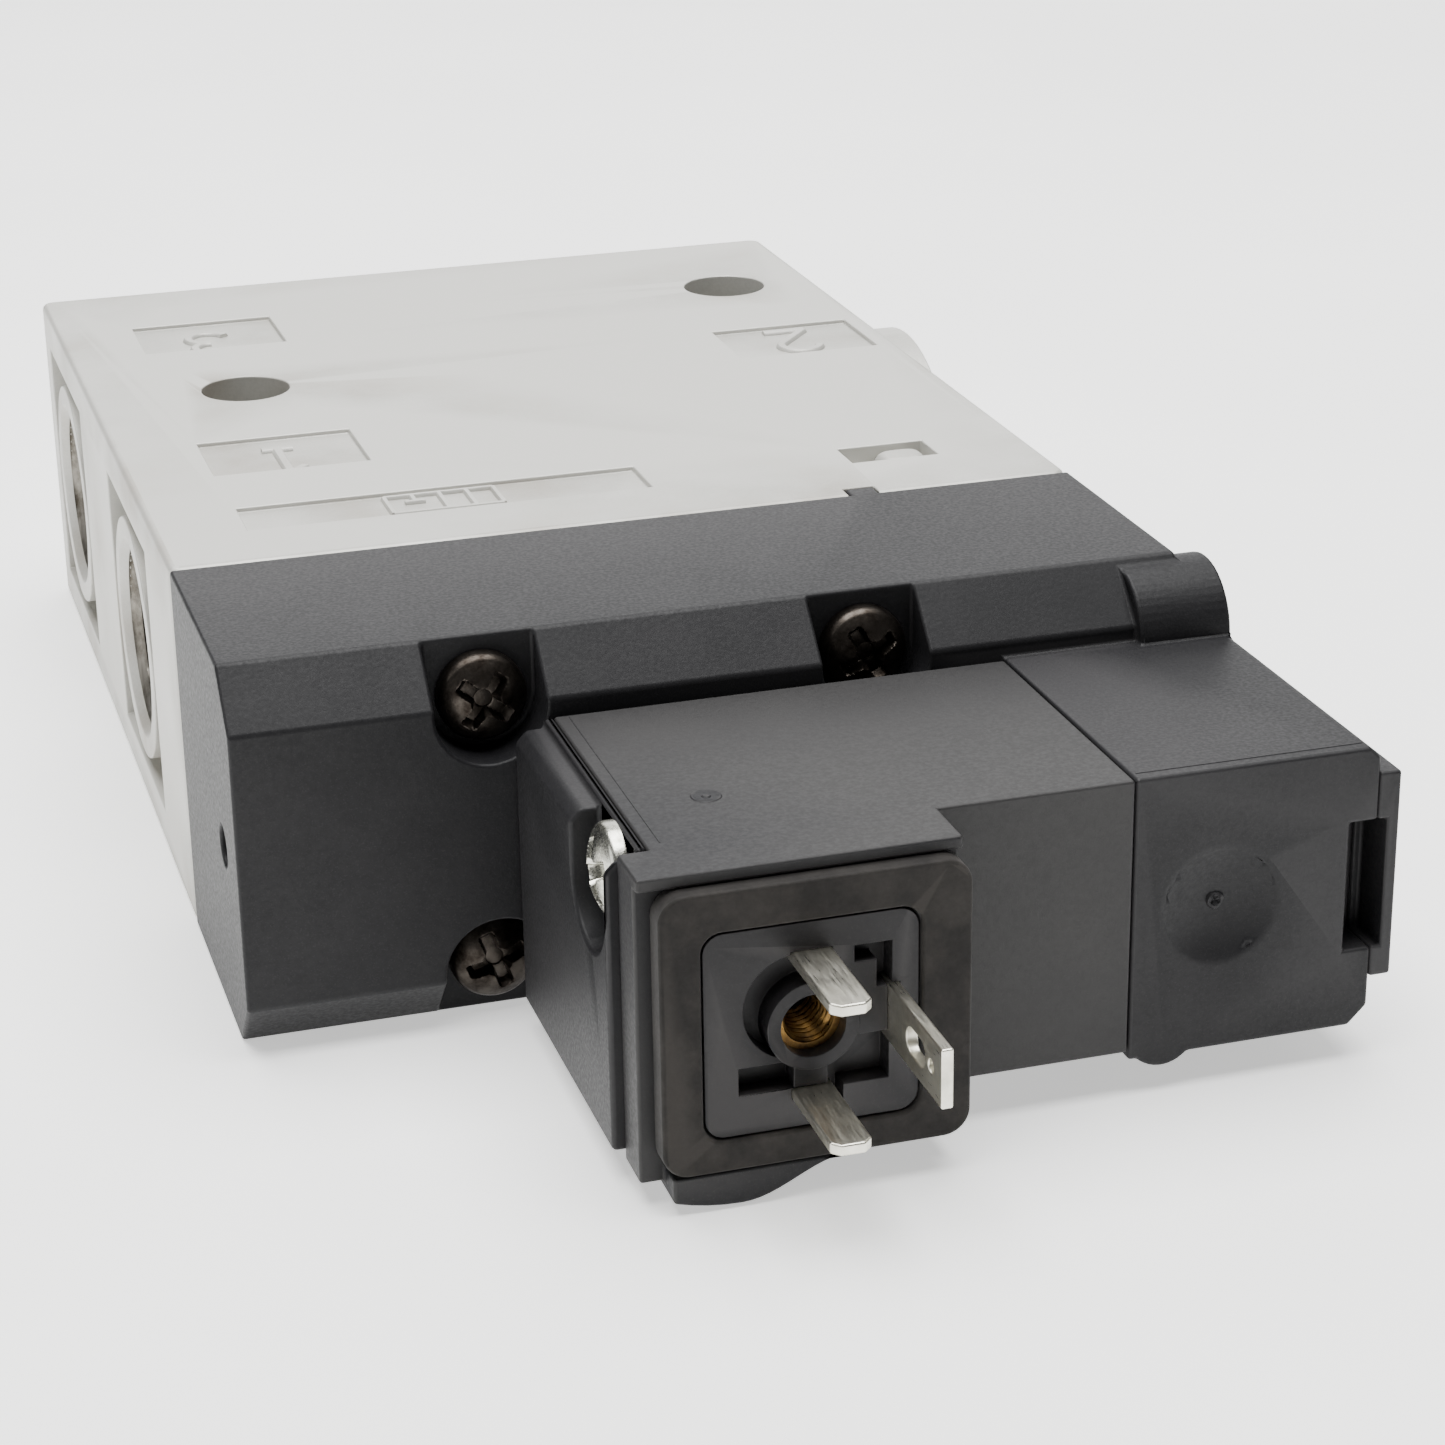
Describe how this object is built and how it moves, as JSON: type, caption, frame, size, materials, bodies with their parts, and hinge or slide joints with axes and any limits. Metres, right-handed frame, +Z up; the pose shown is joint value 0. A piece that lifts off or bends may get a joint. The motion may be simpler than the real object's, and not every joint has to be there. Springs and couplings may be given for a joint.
{
  "type": "solenoid directional valve",
  "caption": "Flat pilot-operated pneumatic valve with threaded ports, a die-cast body, a black pilot cover and a small coil with a blade plug face.",
  "frame": {"origin": "centre of the valve body's flat base", "axes": "+X to the right, towards port 2; +Y to the rear, away from the coil; +Z up"},
  "size_m": [0.066, 0.127, 0.025],
  "materials": {
    "die_cast": "satin",
    "black_moulding": "fine texture",
    "coil_moulding": "satin",
    "bobbin_plastic": "satin",
    "plug_plastic": "satin",
    "gasket_rubber": "matt",
    "seal_rubber": "smooth",
    "dark_screw_steel": "oiled black",
    "zinc_screw_steel": "bright zinc",
    "tinned_contact": "bright tin",
    "brass": "turned",
    "anodised_aluminium": "satin",
    "magnetic_steel": "turned",
    "spring_steel": "drawn",
    "copper_wire": "enamelled",
    "piston_plastic": "natural"
  },
  "bodies": {
    "valve": {"valve_body": "die_cast", "pilot_cover": "black_moulding", "coil_retainer": "black_moulding", "pilot_end_cap": "black_moulding", "coil_housing": "coil_moulding", "coil_bobbin": "bobbin_plastic", "connector_base": "plug_plastic", "connector_gasket": "gasket_rubber", "sleeve_seals": "seal_rubber", "cover_seal": "seal_rubber", "passage_seal": "seal_rubber", "tube_seal": "seal_rubber", "end_cap_seal": "seal_rubber", "cover_screws": "dark_screw_steel", "retainer_screw": "zinc_screw_steel", "contact_upper": "tinned_contact", "contact_lower": "tinned_contact", "ground_contact": "tinned_contact", "terminal_insert": "brass", "override_bush": "brass", "pilot_seat": "brass", "spool_sleeve": "anodised_aluminium", "armature_tube": "magnetic_steel", "fixed_core": "magnetic_steel", "coil_yoke": "magnetic_steel", "return_spring": "spring_steel", "override_spring": "spring_steel", "armature_spring": "spring_steel", "coil_winding": "copper_wire"},
    "spool_assembly": {"spool": "anodised_aluminium", "spool_seals": "seal_rubber", "pilot_piston": "piston_plastic", "piston_seal": "seal_rubber"},
    "armature_assembly": {"armature": "magnetic_steel", "armature_seal": "seal_rubber"},
    "override_assembly": {"override_button": "brass", "override_seal": "seal_rubber"}
  },
  "joints": [
    {"name": "spool_slide", "type": "slide", "parent": "valve", "child": "spool_assembly", "axis": [0, 1, 0], "range_m": [0, 0.005], "stiffness_N_per_m": 2000, "springref_m": -0.003, "deforming": ["return_spring"]},
    {"name": "armature_slide", "type": "slide", "parent": "valve", "child": "armature_assembly", "axis": [-1, 0, 0], "range_m": [0, 0.0008], "stiffness_N_per_m": 800, "springref_m": -0.002, "deforming": ["armature_spring"]},
    {"name": "override_push", "type": "slide", "parent": "valve", "child": "override_assembly", "axis": [-1, 0, 0], "range_m": [0, 0.0015], "stiffness_N_per_m": 1500, "springref_m": -0.001, "deforming": ["override_spring"]}
  ]
}
